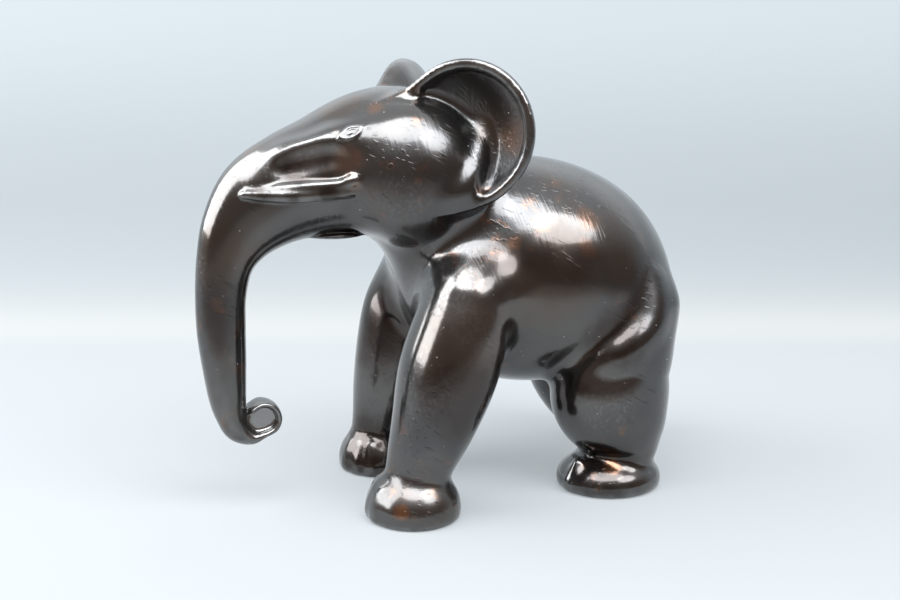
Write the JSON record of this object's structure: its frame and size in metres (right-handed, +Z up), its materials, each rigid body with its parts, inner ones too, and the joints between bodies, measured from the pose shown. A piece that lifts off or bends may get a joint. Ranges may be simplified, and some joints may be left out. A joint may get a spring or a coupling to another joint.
{
  "type": "ceramic elephant figurine",
  "caption": "Standing elephant figurine in dark lustrous glazed ceramic, trunk hanging and curled in at its tip, ears spread, resting on four flat soles.",
  "frame": {"origin": "middle of the bounding box in plan, on the plane of the four soles", "axes": "+Z up; the elephant faces -Y; +X towards its own left side"},
  "size_m": [0.1832, 0.379, 0.3014],
  "materials": {
    "glaze": "dark bronze-black metallic lustre glaze, glossy, with brown patches"
  },
  "bodies": {
    "root": {"elephant": "glaze"}
  },
  "joints": []
}
